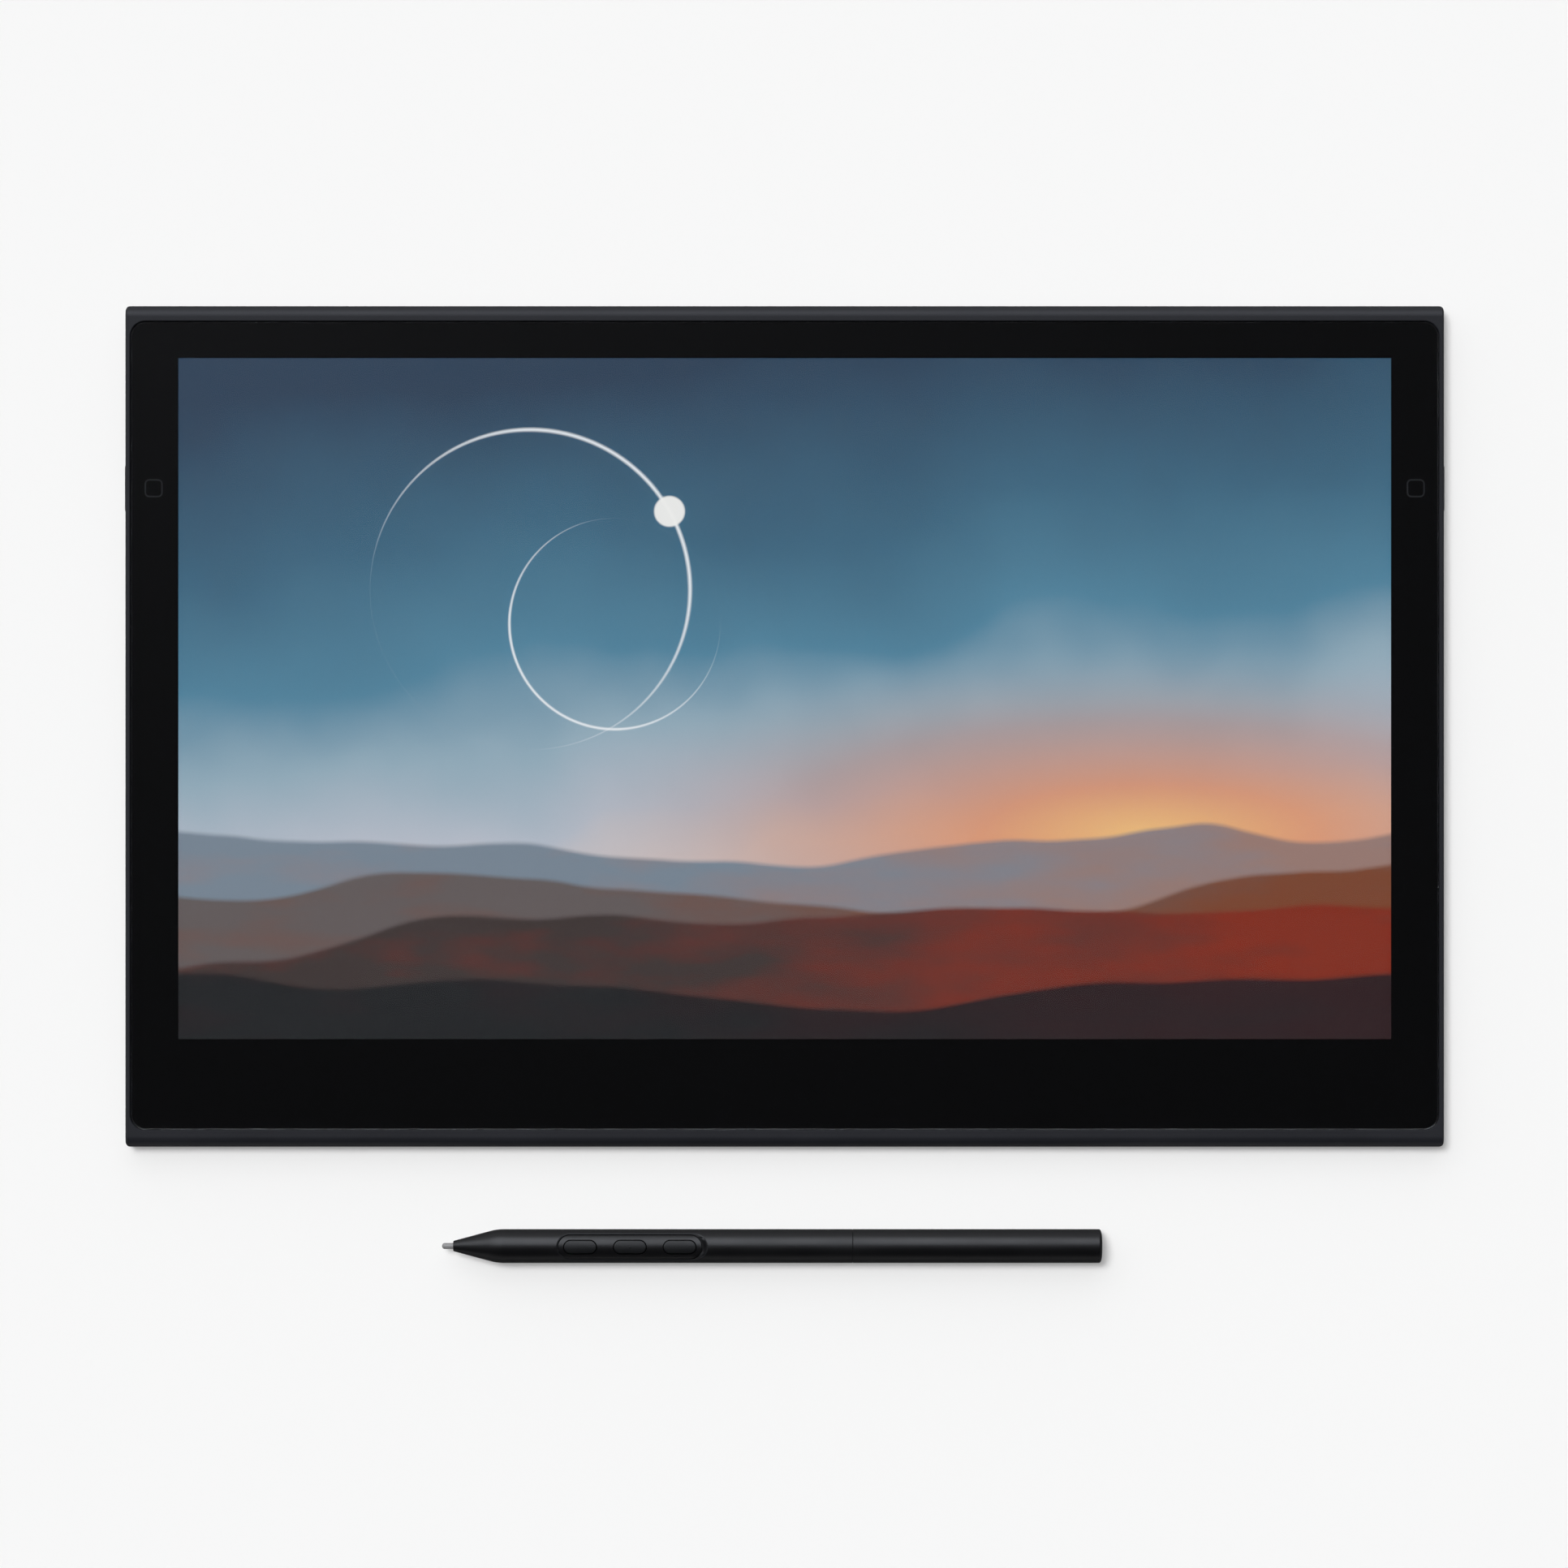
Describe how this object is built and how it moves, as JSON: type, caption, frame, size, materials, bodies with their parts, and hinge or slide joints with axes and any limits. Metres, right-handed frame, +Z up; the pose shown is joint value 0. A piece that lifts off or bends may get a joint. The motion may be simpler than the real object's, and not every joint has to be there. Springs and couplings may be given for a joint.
{
  "type": "graphics tablet with screen",
  "caption": "Slim pen display with a laminated front glass, two back rails with rubber feet, side buttons and USB-C sockets, lying beside its cordless pen with switches and a store for nibs.",
  "frame": {"origin": "on the desk, under the middle of the box round tablet and pen", "axes": "+X to the user's right along the long side, +Y away from the user, +Z up out of the screen"},
  "size_m": [0.3266, 0.2368, 0.0083],
  "materials": {
    "housing": "satin",
    "cover_glass": "satin",
    "tape": "matte",
    "screen": "satin",
    "circuit_board": "satin",
    "shield": "satin",
    "ribbon": "satin",
    "socket_steel": "satin",
    "switch": "matte",
    "screw_steel": "satin",
    "foot_rubber": "matte",
    "button_metal": "satin",
    "pen_plastic": "satin",
    "pen_insert_plastic": "satin",
    "pen_button_plastic": "satin",
    "nib_plastic": "satin",
    "pen_carrier": "matte",
    "coil": "matte"
  },
  "bodies": {
    "tablet": {"frame": "housing", "back_cover": "housing", "cover_glass": "cover_glass", "glass_adhesive": "tape", "display_panel": "screen", "pen_sensor_board": "circuit_board", "sensor_shield": "shield", "main_board": "circuit_board", "display_ribbon": "ribbon", "sensor_ribbon": "ribbon", "usb_socket_left": "socket_steel", "usb_socket_right": "socket_steel", "usb_board_left": "circuit_board", "usb_board_right": "circuit_board", "usb_ribbon_left": "ribbon", "usb_ribbon_right": "ribbon", "switch_board_left": "switch", "switch_board_right": "switch", "cover_screws": "screw_steel", "board_screws": "screw_steel", "foot_upper": "foot_rubber", "foot_lower": "foot_rubber"},
    "left_button": {"left_button": "button_metal"},
    "right_button": {"right_button": "button_metal"},
    "pen": {"pen_barrel": "pen_plastic", "pen_switch_insert": "pen_insert_plastic", "pen_core": "pen_carrier", "pen_board": "circuit_board", "pen_coil": "coil", "pressure_sensor": "switch", "nib_holder": "pen_carrier", "spare_nibs": "nib_plastic"},
    "pen_nib": {"pen_nib": "nib_plastic"},
    "pen_button_front": {"pen_button_front": "pen_button_plastic"},
    "pen_button_middle": {"pen_button_middle": "pen_button_plastic"},
    "pen_button_rear": {"pen_button_rear": "pen_button_plastic"},
    "pen_rear_barrel": {"pen_rear_barrel": "pen_plastic"}
  },
  "joints": [
    {"name": "left_button_press", "type": "slide", "parent": "tablet", "child": "left_button", "axis": [1, 0, 0], "range_m": [0, 0.00025], "stiffness_N_per_m": 6000},
    {"name": "right_button_press", "type": "slide", "parent": "tablet", "child": "right_button", "axis": [-1, 0, 0], "range_m": [0, 0.00025], "stiffness_N_per_m": 6000},
    {"name": "pen_lift", "type": "slide", "parent": "tablet", "child": "pen", "axis": [0, 0, 1], "range_m": [0, 0.12]},
    {"name": "nib_press", "type": "slide", "parent": "pen", "child": "pen_nib", "axis": [1, 0, 0], "range_m": [0, 0.0005], "stiffness_N_per_m": 5000},
    {"name": "front_button_press", "type": "slide", "parent": "pen", "child": "pen_button_front", "axis": [0, 0, -1], "range_m": [0, 0.00025], "stiffness_N_per_m": 6000},
    {"name": "middle_button_press", "type": "slide", "parent": "pen", "child": "pen_button_middle", "axis": [0, 0, -1], "range_m": [0, 0.00025], "stiffness_N_per_m": 6000},
    {"name": "rear_button_press", "type": "slide", "parent": "pen", "child": "pen_button_rear", "axis": [0, 0, -1], "range_m": [0, 0.00025], "stiffness_N_per_m": 6000},
    {"name": "rear_barrel_pull", "type": "slide", "parent": "pen", "child": "pen_rear_barrel", "axis": [1, 0, 0], "range_m": [0, 0.06]}
  ]
}
